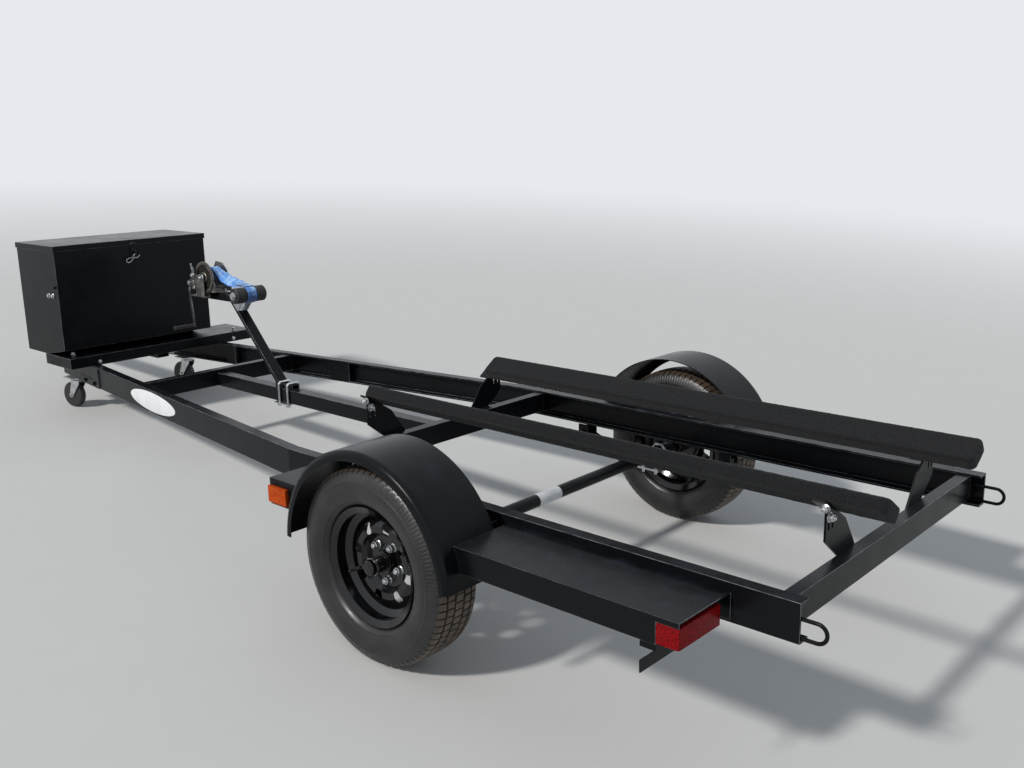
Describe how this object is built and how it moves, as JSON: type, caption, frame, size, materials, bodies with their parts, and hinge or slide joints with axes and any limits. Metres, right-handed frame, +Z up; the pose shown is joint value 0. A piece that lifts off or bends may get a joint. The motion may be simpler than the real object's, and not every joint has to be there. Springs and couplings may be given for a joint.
{
  "type": "boat trailer",
  "caption": "Black single-axle boat trailer with carpeted bunks, winch post with bow rollers, steel fenders and steps, a front tool box and casters under the rail noses.",
  "frame": {"origin": "the middle of the trailer's footprint, at ground level", "axes": "+X forward towards the coupler, +Y to the left, +Z up"},
  "size_m": [5.1524, 1.772, 0.8568],
  "materials": {
    "black_paint": "satin",
    "gloss_black": "glossy",
    "bright_zinc": "satin",
    "galvanized": "matte",
    "webbing": "matte",
    "rubber": "matte",
    "tyre": "matte",
    "caster_tread": "satin",
    "carpet": "matte",
    "amber_lens": "glossy",
    "red_lens": "glossy"
  },
  "bodies": {
    "chassis": {"rail_left": "black_paint", "rail_right": "black_paint", "crossmembers": "black_paint", "keel": "black_paint", "tongue": "black_paint", "coupler": "bright_zinc", "platform": "black_paint", "toolbox_body": "black_paint", "toolbox_hinge": "bright_zinc", "toolbox_staple": "bright_zinc", "winch_post": "black_paint", "post_clamps": "bright_zinc", "winch_frame": "bright_zinc", "winch_drum": "bright_zinc", "winch_gear": "bright_zinc", "winch_crank": "bright_zinc", "winch_strap": "webbing", "roller_bracket": "galvanized", "axle": "black_paint", "leaf_springs": "black_paint", "spring_hangers": "black_paint", "axle_clamps": "bright_zinc", "fender_left": "black_paint", "fender_right": "black_paint", "step_left": "black_paint", "step_right": "black_paint", "marker_boxes": "black_paint", "marker_lenses": "amber_lens", "tail_lamps": "red_lens", "plate_tab": "black_paint", "bunk_left": "carpet", "bunk_right": "carpet", "bunk_brackets": "black_paint", "tie_loops": "black_paint", "caster_mounts": "bright_zinc"},
    "wheel_left": {"hub_left": "gloss_black", "rim_left": "gloss_black", "tyre_left": "tyre"},
    "wheel_right": {"hub_right": "gloss_black", "rim_right": "gloss_black", "tyre_right": "tyre"},
    "box_lid": {"toolbox_lid": "black_paint"},
    "caster_left": {"caster_fork_left": "bright_zinc"},
    "caster_right": {"caster_fork_right": "bright_zinc"},
    "caster_left_wheel": {"caster_wheel_left": "caster_tread"},
    "caster_right_wheel": {"caster_wheel_right": "caster_tread"},
    "bow_roller_left_body": {"bow_roller_left": "rubber"},
    "bow_roller_right_body": {"bow_roller_right": "rubber"}
  },
  "joints": [
    {"name": "wheel_left_spin", "type": "hinge", "parent": "chassis", "child": "wheel_left", "pos_m": [-1.30652, 0.781, 0.3002], "axis": [0, 1, 0], "continuous": true},
    {"name": "caster_left_swivel", "type": "hinge", "parent": "chassis", "child": "caster_left", "pos_m": [1.56945, 0.30973, 0.14134], "axis": [0.0707, 0, 0.9975], "continuous": true},
    {"name": "caster_left_spin", "type": "hinge", "parent": "caster_left", "child": "caster_left_wheel", "pos_m": [1.59695, 0.31825, 0.0637], "axis": [-0.2498, 0.9681, 0.0177], "continuous": true},
    {"name": "bow_roller_left_spin", "type": "hinge", "parent": "chassis", "child": "bow_roller_left_body", "pos_m": [0.51384, 0.0525, 0.70744], "axis": [0, 1, 0], "continuous": true},
    {"name": "wheel_right_spin", "type": "hinge", "parent": "chassis", "child": "wheel_right", "pos_m": [-1.30652, -0.781, 0.3002], "axis": [0, 1, 0], "continuous": true},
    {"name": "caster_right_swivel", "type": "hinge", "parent": "chassis", "child": "caster_right", "pos_m": [1.56945, -0.30973, 0.14134], "axis": [0.0707, 0, 0.9975], "continuous": true},
    {"name": "caster_right_spin", "type": "hinge", "parent": "caster_right", "child": "caster_right_wheel", "pos_m": [1.59695, -0.30122, 0.0637], "axis": [-0.2498, 0.9681, 0.0177], "continuous": true},
    {"name": "bow_roller_right_spin", "type": "hinge", "parent": "chassis", "child": "bow_roller_right_body", "pos_m": [0.51384, -0.0525, 0.70744], "axis": [0, 1, 0], "continuous": true},
    {"name": "toolbox_lid_hinge", "type": "hinge", "parent": "chassis", "child": "box_lid", "pos_m": [1.75648, 0.084, 0.80227], "axis": [0, 1, 0], "range_deg": [0, 95]}
  ]
}
